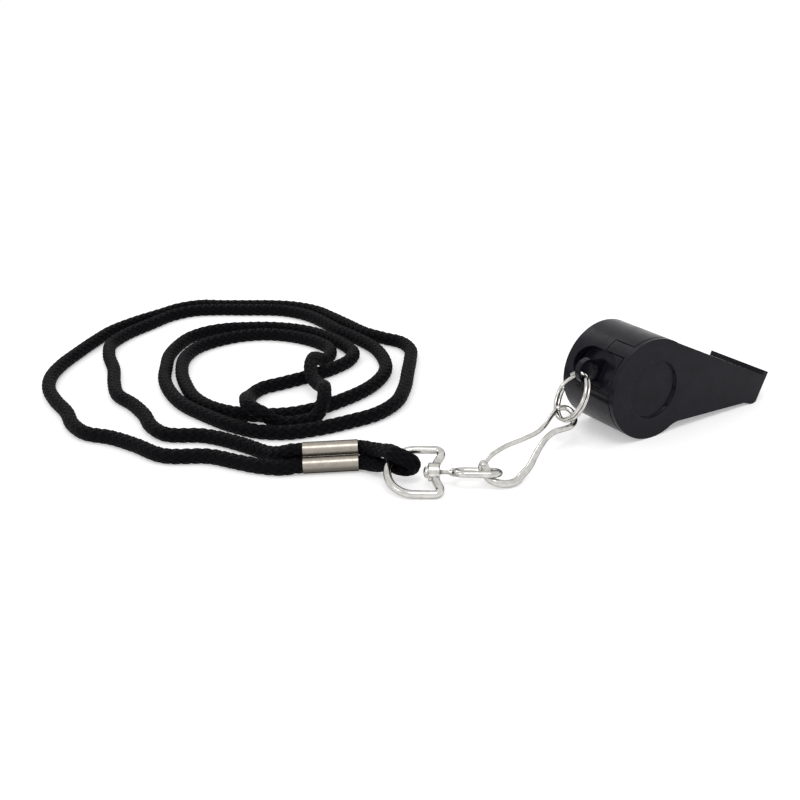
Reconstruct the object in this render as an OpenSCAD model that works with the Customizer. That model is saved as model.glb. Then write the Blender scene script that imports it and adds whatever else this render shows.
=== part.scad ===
// Pea whistle of moulded plastic on a cord lanyard with a wire hook and swivel.
// +X points to the mouthpiece, +Y to the plain side, +Z up. The table is at Z = 0.
// The origin lies on the table, half way along the whistle with its split ring.

/* [Whistle] */
// Outer diameter of the round chamber
chamber_d = 23; // [21:0.5:30]
// Width of the whistle over both side faces
body_w = 17; // [15:0.5:24]
// Wall of the chamber
wall = 1.7; // [1.2:0.1:2.2]
// Thickness of the plain side wall
side_wall = 1.2; // [0.8:0.1:2]
// Length of the flat roof from the chamber to the bite end
roof_len = 33.7; // [26:0.1:45]
// Downward slope of the roof in degrees
roof_slope = 27.8; // [24:0.1:30]
// Height of the bite end below the roof
end_h = 6.3; // [5.5:0.1:6.3]
// Height of the bite ridge above the roof
ridge_h = 1.2; // [0.6:0.1:2]
// Length of the bite ridge along the roof
ridge_len = 1.5; // [1:0.1:3]

/* [Air way] */
// Thickness of the roof over the air way
roof_t = 1.3; // [1:0.1:1.8]
// Height of the air way at the window
airway_h = 1.2; // [0.8:0.1:1.6]
// Height of the air way at the mouth
mouth_h = 2.2; // [1.6:0.1:2.6]
// Wall on either side of the air way and of the window
airway_side = 2.3; // [2:0.1:4]
// Length of the window along the roof
window_len = 4.6; // [3.5:0.1:6]

/* [Side cover] */
// Thickness of the cover plate
cover_t = 1.1; // [0.8:0.1:1.6]
// Depth of the round recess in both side faces
recess_h = 0.6; // [0.2:0.05:0.7]
// Radius of the round recess
recess_r = 6.7; // [4:0.1:8]
// Height of the locating rim inside the chamber
register_h = 0.8; // [0.4:0.1:1.5]
// Wall of the locating rim
register_t = 0.8; // [0.6:0.1:1.2]
// Reach of the cover's wall tongue along the chamber
tongue_w = 6; // [3:0.2:8]

/* [Back pocket and eye] */
// Pocket's centre above the ring's eye, in degrees round the chamber
pocket_lead = 6; // [3:0.5:9]
// Mean width of the whistle left on either side of the pocket
pocket_side = 2; // [1.7:0.1:3.5]
// Height of the pocket round the chamber
pocket_h = 8.4; // [6:0.2:10]
// Depth of the pocket
pocket_depth = 2.6; // [2:0.1:3]
// Thickness of the fin that carries the ring
lug_t = 1.5; // [1.2:0.1:1.7]
// Radius of the round end of the fin
lug_r = 2.8; // [2.5:0.1:3.5]
// Radius of the hole in the fin
lug_hole_r = 2; // [1.8:0.05:2.1]

/* [Pea] */
// Diameter of the pea
pea_d = 8; // [5:0.2:8.4]

/* [Split ring] */
// Mean radius of the ring
ring_r = 5.5; // [5.2:0.1:5.9]
// Diameter of its spring wire
ring_wire = 0.8; // [0.6:0.05:0.9]

/* [Hook] */
// Diameter of the hook's wire
hook_wire = 1.6; // [1.2:0.1:1.7]
// Diameter of the gate's wire
gate_wire = 1; // [0.7:0.1:1.1]

/* [Swivel and D ring] */
// Diameter of the swivel eye's wire
eye_wire = 1.4; // [1.1:0.1:1.5]
// Length of the swivel eye over its wire
eye_len = 10.6; // [10:0.1:12]
// Distance between the eye's two sides, middle to middle
eye_gap = 4.4; // [4.2:0.1:5]
// Diameter of the swivel post
post_d = 0.9; // [0.8:0.1:1.8]
// Distance from the D ring's boss to the eye
post_len = 3.6; // [3:0.1:3.9]
// Diameter of the D ring's wire
d_wire = 1.7; // [1.2:0.1:1.9]
// Half width of the D ring, middle of the wire
d_half = 5.9; // [5:0.1:6.2]
// Diameter of the boss that the post turns in
boss_d = 4; // [3.4:0.1:4.4]
// Length of the boss
boss_len = 2.4; // [1.6:0.1:3]
// Radial clearance of the post in its boss
post_gap = 0.06; // [0.03:0.01:0.1]

/* [Lanyard] */
// Diameter of the cord
cord_d = 3.3; // [2.7:0.1:3.4]
// Outer diameter of one barrel of the ferrule
barrel_d = 3.6; // [3.4:0.1:3.7]
// Length of the ferrule
ferrule_len = 11.9; // [8:0.1:13]
// Distance between the two barrels
barrel_gap = 3.45; // [3.45:0.05:3.6]

/* [Hidden] */
$fn = 48;
over = 1;
fit = 0.05;
sliver = 0.15;
black = [0.05, 0.05, 0.06];
nickel = [0.8, 0.8, 0.78];
cork = [0.75, 0.6, 0.42];

// Chamber, seen from the side in X and Z
chamber_r = chamber_d / 2;
inner_r = chamber_r - wall;
half_w = body_w / 2;
near_y = -half_w;
part_y = near_y + cover_t;
far_y = half_w;
cavity_y = far_y - side_wall;
airway_w = body_w - 2 * airway_side;
// Groove in the shell's edge where the cover meets it
seam_w = 0.3;
seam_h = 0.2;

// Roof: its direction, its outward normal and its two ends
roof_e = [cos(roof_slope), -sin(roof_slope)];
roof_n = [sin(roof_slope), cos(roof_slope)];
roof_a = [0, chamber_r] + roof_n * (chamber_r - sliver);
roof_b = roof_a + roof_e * roof_len;
end_b = roof_b - roof_n * end_h;

// Underside of the mouthpiece, from the chamber to the bite lip
lip_set = 0.8;
lip_x = end_b[0] - lip_set;
lip_len = 0.75;
lip_rise = 0.9;
lip_back = 3;
under_slope = 2.67;
under_at = [8.2, 1.86];
under_n = [sin(under_slope), cos(under_slope)];
fillet_r = 6;
rise = under_n * ([0, chamber_r] - under_at);
reach = sqrt(pow(chamber_r + fillet_r, 2) - pow(rise + fillet_r, 2));
foot = [0, chamber_r] - under_n * rise + [cos(under_slope), -sin(under_slope)] * reach;
fillet_c = foot - under_n * fillet_r;
fillet_a = atan2(chamber_r - fillet_c[1], -fillet_c[0]);
fillet_steps = 8;

// Ring's eye: its hole over the table, and how far its middle stands beyond the chamber
hole_x = -20.3;
lug_z = 16.2;
lug_reach = 1.109;
lug_up = lug_z - chamber_r;
lug_x = -sqrt(pow(chamber_r + lug_reach, 2) - pow(lug_up, 2));
// Where the whistle stands in the part's frame
shift_x = lug_x - hole_x;
lug_neck_share = 0.85;
chamfer = 0.35;

// Pocket in the back, and the tongue above it, in degrees round the chamber
pocket_angle = atan2(lug_up, -lug_x) + pocket_lead;
pocket_len = body_w - 2 * pocket_side;
pocket_y = -0.35;
pocket_half = pocket_h / chamber_d * 180 / PI;
pocket_floor = chamber_r - pocket_depth;
back_r = pocket_floor - side_wall;
tongue_lead = 1;
tongue_span = 16;
tongue_a0 = pocket_angle + pocket_half + tongue_lead;
tongue_a1 = tongue_a0 + tongue_span;
tongue_play = 1.2;
tongue_gap = 0.25;
sector_steps = 4;

// Window's start behind the tangent line, and how deep its cut goes
window_start = 0.3;
window_cut = 5;

// Two low grip ribs, in degrees below the pocket's edge
rib_drops = [4, 11];
rib_len = 5.8;
rib_w = 0.6;
rib_h = 0.3;
rib_y = 0.5;

// The pea rolls round between the chamber's wall and the back of the pocket
pea_play = 0.2;
pea_off = (inner_r - back_r) / 2;
pea_orbit = (inner_r + back_r) / 2 - pea_play - pea_d / 2;
pea_axis = [pea_off * cos(pocket_angle), chamber_r - pea_off * sin(pocket_angle)];

// Split ring: its middle, and the turns that lay it over
ring_hang = [-3.5, 0.7, -5.5];
ring_c = [hole_x, 0, lug_z] + ring_hang;
ring_n = [0.831, -0.234, -0.505];
turn_gap = 0.02;
ring_pitch = ring_wire / 2 + turn_gap;
joggle_turn = 150;

// Hook: its place, and its yaw, pitch and roll in degrees
hook_at = [-47.4, -6.05, 2.95];
hook_yaw = 15.9;
hook_pitch = 9.9;
hook_roll = 27;
hook_sides = 12;
// Middle line of the wire and of the gate, in the hook's own plane
hook_line = [[-3.9, 1.9], [-4.6, 0], [-4.2, -1.6], [-3.2, -2.8], [-1.9, -3.7], [-0.4, -4.1], [1.5, -3.9],
    [4.7, -3.5], [8.2, -2.4], [11.5, -1.5], [14.5, -1], [17, -1.15], [19, -1.9], [21, -2.5],
    [22.6, -2.3], [23.8, -1.5], [24.6, -0.3], [24.6, 1.3], [23, 2.6]];
gate_line = [[-2.48, 3.2], [-1.2, 3.5], [0.2, 3.7], [2.6, 3.6], [5, 3.3], [9.5, 2.1], [14.3, 1.25],
    [16.7, 1.45], [19.2, 2], [22, 2.5]];
// The wire thins out from its bend to the waist
taper_from = -1;
taper_len = 15;
taper_share = 0.25;
// Gate's pin on a cheek of the hook, and the gate's barrel
gate_pin = [-3.2, 3];
cheek_end = [-4.15, 1.2];
cheek_r = 0.95;
cheek_t = 0.45;
cheek_gap = 0.1;
cheek_sink = 0.15;
cheek_z = hook_wire / 2 - cheek_sink;
barrel_z = [-0.35, cheek_z - cheek_gap];
pin_d = 1;

// Swivel eye and D ring: place, yaw, pitch and roll
eye_at = [-57.6, -2, 3.3];
eye_yaw = -34.5;
eye_pitch = -2;
eye_roll = -16.5;
d_roll = 25;
d_apex = 9.7;
d_corner = 1.3;
// The bar bows away from the boss; how far it is set in there, and its lean at the corners
d_set = 0.1;
d_lean = 30;
d_steps = 12;
corner_steps = 4;
bar_shares = [0.08, 0.3, 0.55, 0.8];
head_t = 0.9;
head_r = 1.3;
head_gap = 0.1;

// Ferrule: its left mouth, yaw and roll
ferrule_at = [-79.2, 23.3, 3.1];
ferrule_yaw = -29.8;
ferrule_roll = 45;
web_share = 0.35;
squeeze = 0.1;
// The cord is thinner where it is drawn tight round the D ring and through the ferrule
drawn = 0.3;
bight_d = cord_d - drawn;
bore_r = bight_d / 2 - squeeze;

// Route of the cord's middle line from one ferrule mouth round to the other.
// A point without a third number lies on the table.
cord_z = cord_d / 2;
cord_sides = 8;
route = [[-82.2, 28.5, 3], [-83.5, 33.5], [-86, 41], [-91, 50.5], [-98, 57], [-99, 63], [-98, 71],
    [-98, 79], [-99, 87], [-97, 96], [-94, 105], [-91, 118], [-88, 125], [-83, 129.5], [-72, 135], [-65, 138],
    [-58, 138], [-52, 134.5], [-46, 129.5], [-36, 120], [-33, 113], [-32, 105], [-32, 96], [-31, 85],
    [-31, 76], [-33, 68], [-37, 60], [-42, 55], [-48, 51.5], [-55, 49.5], [-62, 48.5], [-69, 49.5],
    [-75, 53], [-80, 58.5], [-83, 65], [-84, 73], [-82.5, 83], [-80, 92], [-74, 103], [-69, 107],
    [-63, 108.5], [-56, 108], [-50, 105], [-45.5, 100], [-42.5, 94], [-41, 88], [-41, 83], [-43, 79],
    [-46.5, 75.5, 2], [-50, 72.5, 4.3], [-53, 69, 5.8], [-55.5, 65.5, 5.3], [-57, 62, 4.3], [-57.5, 58.5, 3.8],
    [-58, 54.5, 4.3], [-60, 49.5, 5.8], [-62.5, 45.5, 4.3], [-66, 43.5, 2], [-70, 44], [-74, 45.5, 2],
    [-77.5, 47.5, 4.8], [-79, 51, 5.8], [-77.5, 56, 5.3], [-75, 61.5, 3.2], [-72, 66], [-68, 68.5],
    [-62, 68.5], [-54, 68.5], [-47, 69.5], [-41, 72], [-37.5, 76], [-36.5, 81], [-36.5, 87], [-37.5, 94],
    [-40, 101], [-45, 108], [-51, 113], [-57, 116.5], [-62, 117.5], [-68, 116], [-73, 112], [-78, 106],
    [-82, 98], [-85.5, 90], [-87.5, 81], [-88, 72], [-86, 61], [-83, 51], [-79.5, 44.5], [-75, 40.5],
    [-68, 38], [-60, 37], [-53, 37], [-46, 40], [-40, 46], [-33, 55.5], [-28, 62.5], [-24, 69],
    [-23, 75], [-25, 81], [-27, 88], [-27.5, 96], [-28, 105], [-29, 114], [-32, 121], [-37, 127],
    [-43, 132], [-49, 137], [-54, 141.5], [-60, 143], [-67, 141.5], [-77, 139], [-84, 136], [-91, 130.5],
    [-98, 124], [-104, 118], [-109, 111], [-112, 103], [-113, 94], [-113, 84], [-114, 76], [-113, 69],
    [-109, 63], [-106, 56], [-102.5, 46], [-94, 39], [-90.5, 33], [-87, 27.6], [-83.5, 24.2]];
// The bight through the D ring, from the far barrel round to the near one
bight_route = [[-66.8, 15, 4.75], [-66.6, 11.8, 5.7], [-66.5, 8.6, 6.75], [-66.4, 6.7, 7],
    [-65.3, 5.3, 6.35], [-64.1, 4.3, 5.6], [-63.2, 3.9, 4.6], [-63, 4.2, 3.6], [-63.5, 5.2, 2.9],
    [-64.6, 6.6, 3], [-65.5, 8.1, 3.25], [-65.9, 9.4, 2.95], [-66.8, 11.4, 2.45], [-67.5, 13.6, 2]];
bight_side = [0.89, 0.29, 0.33];

// Unit vector, a route's point lifted off the table, and the direction of a line at a point
function unit(v) = v / norm(v);
function lifted(p) = len(p) == 3 ? p : [p[0], p[1], cord_z];
function tangent(p, i) = unit(unit(p[min(i + 1, len(p) - 1)] - p[max(i - 1, 0)]));

// A tube through points p, with a side vector and two radii for every ring
module tube(p, side, ra, rb, sides) {
    n = len(p);
    ring = [for (i = [0 : n - 1]) for (k = [0 : sides - 1])
        let (t = tangent(p, i), s = unit(side[i] - t * (side[i] * t)), u = cross(t, s))
        let (a = 360 * (k + 0.5) / sides)
        p[i] + s * ra[i] * cos(a) + u * rb[i] * sin(a)];
    quads = [for (i = [0 : n - 2]) for (k = [0 : sides - 1]) for (h = [0, 1])
        let (k2 = (k + 1) % sides, a = i * sides)
        h == 0 ? [a + k, a + k2, a + sides + k2] : [a + k, a + sides + k2, a + sides + k]];
    caps = [for (k = [1 : sides - 2]) for (h = [0, 1])
        h == 0 ? [0, k + 1, k] : [(n - 1) * sides, (n - 1) * sides + k, (n - 1) * sides + k + 1]];
    polyhedron(points = ring, faces = [for (f = concat(quads, caps)) [f[2], f[1], f[0]]], convexity = 10);
}

// Turns a child from its own frame: yaw, then pitch, then roll about its long axis
module placed(at, yaw, pitch, roll) {
    translate(at) rotate([0, -pitch, yaw]) rotate([roll, 0, 0]) children();
}

// Side view of the whistle without its ridge, its round back and its roof drawn in by the given depth
module outline(inset = 0) {
    translate([0, chamber_r]) circle(r = chamber_r - inset, $fn = 96);
    polygon(concat([[0, chamber_r], roof_a - roof_n * inset, roof_b - roof_n * inset, end_b, [lip_x, 0],
        [lip_x - lip_len, 0], [lip_x - lip_back, lip_rise]],
        [for (i = [0 : fillet_steps])
            let (a = 90 - under_slope + (fillet_a - 90 + under_slope) * i / fillet_steps)
            fillet_c + (fillet_r + inset) * [cos(a), sin(a)]]));
}

// Extrudes a side view along Y from y0 to y1
module across(y0, y1) {
    translate([0, y1, 0]) rotate([90, 0, 0]) linear_extrude(y1 - y0) children();
}

// Children in the roof's frame: X along the roof, Z out of it, from the tangent line
module on_roof() {
    translate([roof_a[0], 0, roof_a[1]]) rotate([0, roof_slope, 0]) children();
}

// Children with X pointing out of the chamber's back at the given height in degrees
module on_back(a) {
    translate([0, 0, chamber_r]) rotate([0, a, 0]) mirror([1, 0, 0]) children();
}

// Oval block across the back, from radius r0 to r1
module oval(r0, r1, length, height, y) {
    on_back(pocket_angle) translate([r0, y, 0]) rotate([0, 90, 0]) linear_extrude(r1 - r0)
        union() {
            square([height, length - height], center = true);
            for (s = [-1, 1]) translate([0, s * (length - height) / 2]) circle(r = height / 2);
        }
}

// Fin with a round end and a chamfered hole
module lug() {
    root = [-cos(pocket_angle), sin(pocket_angle)] * (back_r + side_wall / 2);
    arm = unit([lug_x, lug_z - chamber_r] - root);
    neck = lug_neck_share * lug_r;
    difference() {
        union() {
            translate([lug_x, 0, lug_z]) rotate([90, 0, 0]) cylinder(r = lug_r, h = lug_t, center = true);
            across(-lug_t / 2, lug_t / 2) translate([0, chamber_r]) polygon([
                root + neck * [sin(pocket_angle), cos(pocket_angle)],
                root - neck * [sin(pocket_angle), cos(pocket_angle)],
                [lug_x, lug_z - chamber_r] + neck * [-arm[1], arm[0]],
                [lug_x, lug_z - chamber_r] - neck * [-arm[1], arm[0]]]);
        }
        translate([lug_x, 0, lug_z]) rotate([90, 0, 0]) {
            cylinder(r = lug_hole_r, h = lug_t + over, center = true);
            for (s = [0, 1]) mirror([0, 0, s]) translate([0, 0, lug_t / 2 - chamfer])
                cylinder(r1 = lug_hole_r, r2 = lug_hole_r + chamfer * 2, h = chamfer * 2);
        }
    }
}

// Sector of the chamber's wall between two angles above the back's level line
module wall_sector(r0, r1, a0, a1, y0, y1) {
    across(y0, y1) translate([0, chamber_r]) difference() {
        polygon([[0, 0], for (i = [0 : sector_steps])
            let (a = 180 - a0 - (a1 - a0) * i / sector_steps) [cos(a), sin(a)] * (r1 + wall)]);
        circle(r = r0, $fn = 96);
        difference() {
            circle(r = r1 + 2 * wall);
            circle(r = r1, $fn = 96);
        }
    }
}

module body_shell() color(black) translate([-shift_x, 0, 0]) {
    difference() {
        union() {
            difference() {
                union() {
                    across(part_y + fit, part_y + fit + seam_w) outline(seam_h);
                    across(part_y + fit + seam_w, far_y) outline();
                    on_roof() translate([roof_len - ridge_len, part_y + fit, -over])
                        cube([ridge_len, far_y - part_y - fit, ridge_h + over]);
                }
                across(part_y - over, cavity_y) translate([0, chamber_r]) circle(r = inner_r, $fn = 96);
                wall_sector(inner_r - over, chamber_r + over, tongue_a0 - tongue_play,
                    tongue_a1 + tongue_play, part_y - over, part_y + tongue_w + tongue_gap);
            }
            oval(back_r, pocket_floor + sliver, pocket_len + side_wall, pocket_h + 2 * side_wall,
                pocket_y + side_wall / 4);
        }
        oval(pocket_floor, chamber_r + 2 * over, pocket_len, pocket_h, pocket_y);
        // Air way, wider at the mouth, and the window that it blows across
        on_roof() translate([0, airway_w / 2, 0]) rotate([90, 0, 0]) linear_extrude(airway_w)
            polygon([[window_len - over, -roof_t], [roof_len + over, -roof_t],
                [roof_len + over, -roof_t - mouth_h], [window_len - over, -roof_t - airway_h]]);
        on_roof() translate([window_start, -airway_w / 2, -window_cut])
            cube([window_len, airway_w, window_cut + over]);
        translate([0, far_y, chamber_r]) rotate([90, 0, 0])
            cylinder(r = recess_r, h = 2 * recess_h, center = true);
    }
    lug();
    for (d = rib_drops) on_back(pocket_angle - pocket_half - d)
        translate([chamber_r - sliver, part_y + rib_y, -rib_w / 2]) cube([rib_h + sliver, rib_len, rib_w]);
}

module side_cover() color(black) translate([-shift_x, 0, 0]) {
    difference() {
        union() {
            across(near_y, part_y) outline();
            on_roof() translate([roof_len - ridge_len, near_y, -over])
                cube([ridge_len, cover_t, ridge_h + over]);
            translate([0, part_y - sliver, chamber_r]) rotate([-90, 0, 0])
                difference() {
                    cylinder(r = inner_r - fit, h = register_h + sliver);
                    translate([0, 0, -over]) cylinder(r = inner_r - register_t, h = register_h + 2 * over);
                }
            wall_sector(inner_r - register_t, chamber_r, tongue_a0, tongue_a1, part_y - sliver,
                part_y + tongue_w);
        }
        translate([0, near_y, chamber_r]) rotate([90, 0, 0])
            cylinder(r = recess_r, h = 2 * recess_h, center = true);
        // Room for the pocket's backing
        oval(back_r - sliver, inner_r, pocket_len + 2 * side_wall, pocket_h + 3 * side_wall, pocket_y);
    }
}

module pea() color(cork)
    translate([pea_axis[0] - shift_x, 0, pea_axis[1] - pea_orbit]) sphere(d = pea_d);

module split_ring() color(nickel) {
    yaw = atan2(ring_n[1], ring_n[0]);
    tip = acos(ring_n[2] / norm(ring_n));
    translate(ring_c) rotate([0, tip, yaw])
        for (s = [-1, 1]) translate([0, 0, s * ring_pitch])
            rotate_extrude($fn = 64) translate([ring_r, 0]) circle(d = ring_wire, $fn = 20);
    translate(ring_c) rotate([0, tip, yaw]) rotate([0, 0, joggle_turn]) translate([ring_r, 0, 0])
        cube([ring_wire / 2, ring_wire, ring_pitch * 2], center = true);
}

function hook_radius(q) =
    hook_wire / 2 * (1 - taper_share * max(0, min(1, (q[0] - taper_from) / taper_len)));

module hook_body() color(nickel) placed(hook_at, hook_yaw, hook_pitch, hook_roll) {
    p = [for (q = hook_line) [q[0], q[1], 0]];
    r = [for (q = hook_line) hook_radius(q)];
    tube(p, [for (q = p) [0, 0, 1]], r, r, hook_sides);
    translate([0, 0, cheek_z]) linear_extrude(cheek_t) hull() {
        translate(gate_pin) circle(r = cheek_r);
        translate(cheek_end) circle(r = hook_wire / 2);
    }
    translate([gate_pin[0], gate_pin[1], barrel_z[0]])
        cylinder(d = pin_d, h = cheek_z + cheek_t / 2 - barrel_z[0]);
}

module hook_gate() color(nickel) placed(hook_at, hook_yaw, hook_pitch, hook_roll) {
    p = [for (q = gate_line) [q[0], q[1], 0]];
    r = [for (q = p) gate_wire / 2];
    tube(p, [for (q = p) [0, 0, 1]], r, r, hook_sides);
    translate([gate_pin[0], gate_pin[1], barrel_z[0]]) difference() {
        cylinder(r = cheek_r, h = barrel_z[1] - barrel_z[0]);
        translate([0, 0, -over])
            cylinder(d = pin_d + 2 * post_gap, h = barrel_z[1] - barrel_z[0] + 2 * over);
    }
}

// Flat link of round wire on a turned post with a riveted head
module swivel_eye() color(nickel) placed(eye_at, eye_yaw, eye_pitch, eye_roll) {
    bend = eye_gap / 2;
    run = eye_len - eye_wire - eye_gap;
    for (s = [0, 1]) translate([eye_wire / 2 + bend + s * run, 0, 0])
        rotate_extrude(angle = 180, start = 90 + 180 * (1 - s) - 180, $fn = 48)
            translate([bend, 0]) circle(d = eye_wire, $fn = 24);
    for (s = [-1, 1]) translate([eye_wire / 2 + bend, s * bend, 0]) rotate([0, 90, 0])
        cylinder(d = eye_wire, h = run);
    head_x = post_len + boss_len / 2 + head_gap;
    translate([-head_x - head_t / 2, 0, 0]) rotate([0, 90, 0])
        cylinder(d = post_d, h = head_x + head_t / 2 + eye_wire / 2);
    translate([-head_x - head_t, 0, 0]) rotate([0, 90, 0]) cylinder(r = head_r, h = head_t);
}

// Middle line of the D ring: half of the bar, a corner, the round end, and the same back again
bar_end = d_half - d_corner * (1 + sin(d_lean));
bar_bow = bar_end * tan(d_lean) / 2;
corner_c = [d_set + bar_bow - d_corner * cos(d_lean), d_half - d_corner];
half_line = concat(
    [for (s = bar_shares) [d_set + bar_bow * s * s, bar_end * s, 0]],
    [for (i = [0 : corner_steps]) let (a = -d_lean + (90 + d_lean) * i / corner_steps)
        [corner_c[0] + d_corner * cos(a), corner_c[1] + d_corner * sin(a), 0]]);
d_line = concat(half_line,
    [for (i = [0 : d_steps]) let (a = 90 + 180 * i / d_steps)
        [d_half - d_apex + d_half * cos(a), d_half * sin(a), 0]],
    [for (i = [len(half_line) - 1 : -1 : 0]) [half_line[i][0], -half_line[i][1], 0]]);

module d_ring() color(nickel) placed(eye_at, eye_yaw, eye_pitch, d_roll)
    translate([-post_len, 0, 0], $fn = 24) {
    r = [for (q = d_line) d_wire / 2];
    difference() {
        union() {
            rotate([0, 90, 0]) cylinder(d = boss_d, h = boss_len, center = true);
            tube(d_line, [for (q = d_line) [0, 0, 1]], r, r, hook_sides);
        }
        rotate([0, 90, 0]) cylinder(d = post_d + 2 * post_gap, h = boss_len + 2 * over, center = true);
    }
}

// Two barrels of one crimped sleeve
module ferrule() color(nickel) placed(ferrule_at, ferrule_yaw, 0, ferrule_roll)
    difference() {
        union() {
            for (s = [-1, 1]) translate([0, s * barrel_gap / 2, 0]) rotate([0, 90, 0])
                cylinder(d = barrel_d, h = ferrule_len);
            translate([0, -barrel_gap / 2, -barrel_d * web_share / 2])
                cube([ferrule_len, barrel_gap, barrel_d * web_share]);
        }
        for (s = [-1, 1]) translate([-over, s * barrel_gap / 2, 0]) rotate([0, 90, 0])
            cylinder(r = bore_r, h = ferrule_len + 2 * over);
    }

// Directions along the ferrule and across its barrels, and a point of a barrel's middle line: side s,
// distance x along the ferrule
ferrule_e = [cos(ferrule_yaw), sin(ferrule_yaw), 0];
ferrule_u = [-sin(ferrule_yaw) * cos(ferrule_roll), cos(ferrule_yaw) * cos(ferrule_roll), sin(ferrule_roll)];
function mouth(s, x) = ferrule_at + ferrule_e * x + ferrule_u * s * barrel_gap / 2;

loop_pts = concat([mouth(1, -fit / 2), mouth(1, -cord_d / 2)], [for (q = route) lifted(q)],
    [mouth(-1, -cord_d / 2), mouth(-1, -fit / 2)]);

module cord_loop() color(black) {
    r = [for (q = loop_pts) cord_d / 2];
    level = [for (i = [0 : len(loop_pts) - 1]) cross([0, 0, 1], tangent(loop_pts, i))];
    tube(loop_pts, level, r, r, cord_sides);
}

bight_pts = concat([mouth(1, ferrule_len + fit), mouth(1, ferrule_len + bight_d / 2)], bight_route,
    [mouth(-1, ferrule_len + bight_d / 2), mouth(-1, ferrule_len + fit)]);
// The braid flattens where it crosses the wire
flat_at = [-66, 7.4, 5.1];
flat_r = [3.2, 5];
flat_shares = [0.67, 0.85];
function flat(i) = let (x = norm(bight_pts[i] - flat_at))
    x < flat_r[0] ? flat_shares[0] : x < flat_r[1] ? flat_shares[1] : 1;

module cord_bight() color(black) {
    n = len(bight_pts);
    tube(bight_pts, [for (q = bight_pts) bight_side], [for (i = [0 : n - 1]) bight_d / 2 / sqrt(flat(i))],
        [for (i = [0 : n - 1]) bight_d / 2 * flat(i)], cord_sides);
    for (s = [-1, 1]) placed(mouth(s, 0), ferrule_yaw, 0, 0) rotate([0, 90, 0])
        cylinder(r = bore_r - fit, h = ferrule_len + 2 * fit);
}

// Least gap of the cord to itself, measured between points some diameters apart along it
apart_share = 3;
fine_steps = 3;
function steps(p) = [for (i = [1 : len(p) - 1]) norm(p[i] - p[i - 1])];
function sums(s, i, t) = i == len(s) ? [t] : concat([t], sums(s, i + 1, t + s[i]));
run_at = sums(steps(loop_pts), 0, 0);
fine = [for (i = [0 : len(loop_pts) - 2]) for (k = [0 : fine_steps - 1]) let (t = k / fine_steps)
    [loop_pts[i] + (loop_pts[i + 1] - loop_pts[i]) * t, run_at[i] + (run_at[i + 1] - run_at[i]) * t]];
least = min([for (i = [0 : len(fine) - 1]) for (j = [i + 1 : 1 : len(fine) - 1])
    if (fine[j][1] - fine[i][1] > apart_share * cord_d) norm(fine[i][0] - fine[j][0])]) - cord_d;
echo(cord_length = run_at[len(run_at) - 1], least_gap = least);

body_shell();
side_cover();
pea();
split_ring();
hook_body();
hook_gate();
swivel_eye();
d_ring();
ferrule();
cord_loop();
cord_bight();
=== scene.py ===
"""Visual model of a pea whistle on a wire hook, a swivel and a braided neck cord."""
import bpy
import bmesh
import numpy as np
from math import cos, pi, radians, sin
from mathutils import Matrix, Vector


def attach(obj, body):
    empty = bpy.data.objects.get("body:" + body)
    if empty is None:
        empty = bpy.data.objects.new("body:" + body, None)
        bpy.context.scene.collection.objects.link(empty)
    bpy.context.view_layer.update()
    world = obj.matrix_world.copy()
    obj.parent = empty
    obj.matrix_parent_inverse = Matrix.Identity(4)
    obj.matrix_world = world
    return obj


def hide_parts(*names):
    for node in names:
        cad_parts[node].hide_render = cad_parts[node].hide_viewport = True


bl_info = {
    "name": "Whistle on a neck cord",
    "version": (1, 0, 0),
    "blender": (4, 5, 0),
    "location": "View3D > Sidebar > Whistle",
    "description": "Builds a pea whistle with its split ring, hook, swivel and braided cord",
    "category": "Add Mesh",
}

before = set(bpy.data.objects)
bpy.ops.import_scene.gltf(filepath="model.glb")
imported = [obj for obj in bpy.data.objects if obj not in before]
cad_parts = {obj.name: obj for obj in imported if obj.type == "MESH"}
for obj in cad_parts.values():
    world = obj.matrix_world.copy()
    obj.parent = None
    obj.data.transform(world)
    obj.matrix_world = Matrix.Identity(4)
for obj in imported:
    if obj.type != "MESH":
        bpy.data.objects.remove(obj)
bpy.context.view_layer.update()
MM = 0.001


# Sizes and colours
class WhistleSizes(bpy.types.PropertyGroup):
    """Sizes that finish the pieces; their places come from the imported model."""
    cord: bpy.props.FloatProperty(
        name="Cord", description="Diameter of the cord", default=3.3 * MM, unit="LENGTH")
    bight: bpy.props.FloatProperty(
        name="Bight", description="Diameter of the cord drawn tight round the D ring",
        default=3.0 * MM, unit="LENGTH")
    braid_pitch: bpy.props.FloatProperty(
        name="Braid pitch", description="Length of one crossing of the braid",
        default=2.3 * MM, unit="LENGTH")
    braid_relief: bpy.props.FloatProperty(
        name="Braid relief", description="How far the strands stand proud", default=0.34 * MM, unit="LENGTH")
    hook_wire: bpy.props.FloatProperty(
        name="Hook wire", description="Diameter of the hook's wire at its bend",
        default=1.6 * MM, unit="LENGTH")
    gate_wire: bpy.props.FloatProperty(
        name="Gate wire", description="Diameter of the gate's wire", default=1.0 * MM, unit="LENGTH")
    ring_wire: bpy.props.FloatProperty(
        name="Ring wire", description="Diameter of the split ring's wire", default=0.8 * MM, unit="LENGTH")
    eye_wire: bpy.props.FloatProperty(
        name="Eye wire", description="Diameter of the swivel eye's wire", default=1.4 * MM, unit="LENGTH")
    d_wire: bpy.props.FloatProperty(
        name="D ring wire", description="Diameter of the D ring's wire", default=1.7 * MM, unit="LENGTH")
    edge_round: bpy.props.FloatProperty(
        name="Edge rounding", description="Radius of the moulded edges", default=0.22 * MM, unit="LENGTH")


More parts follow.
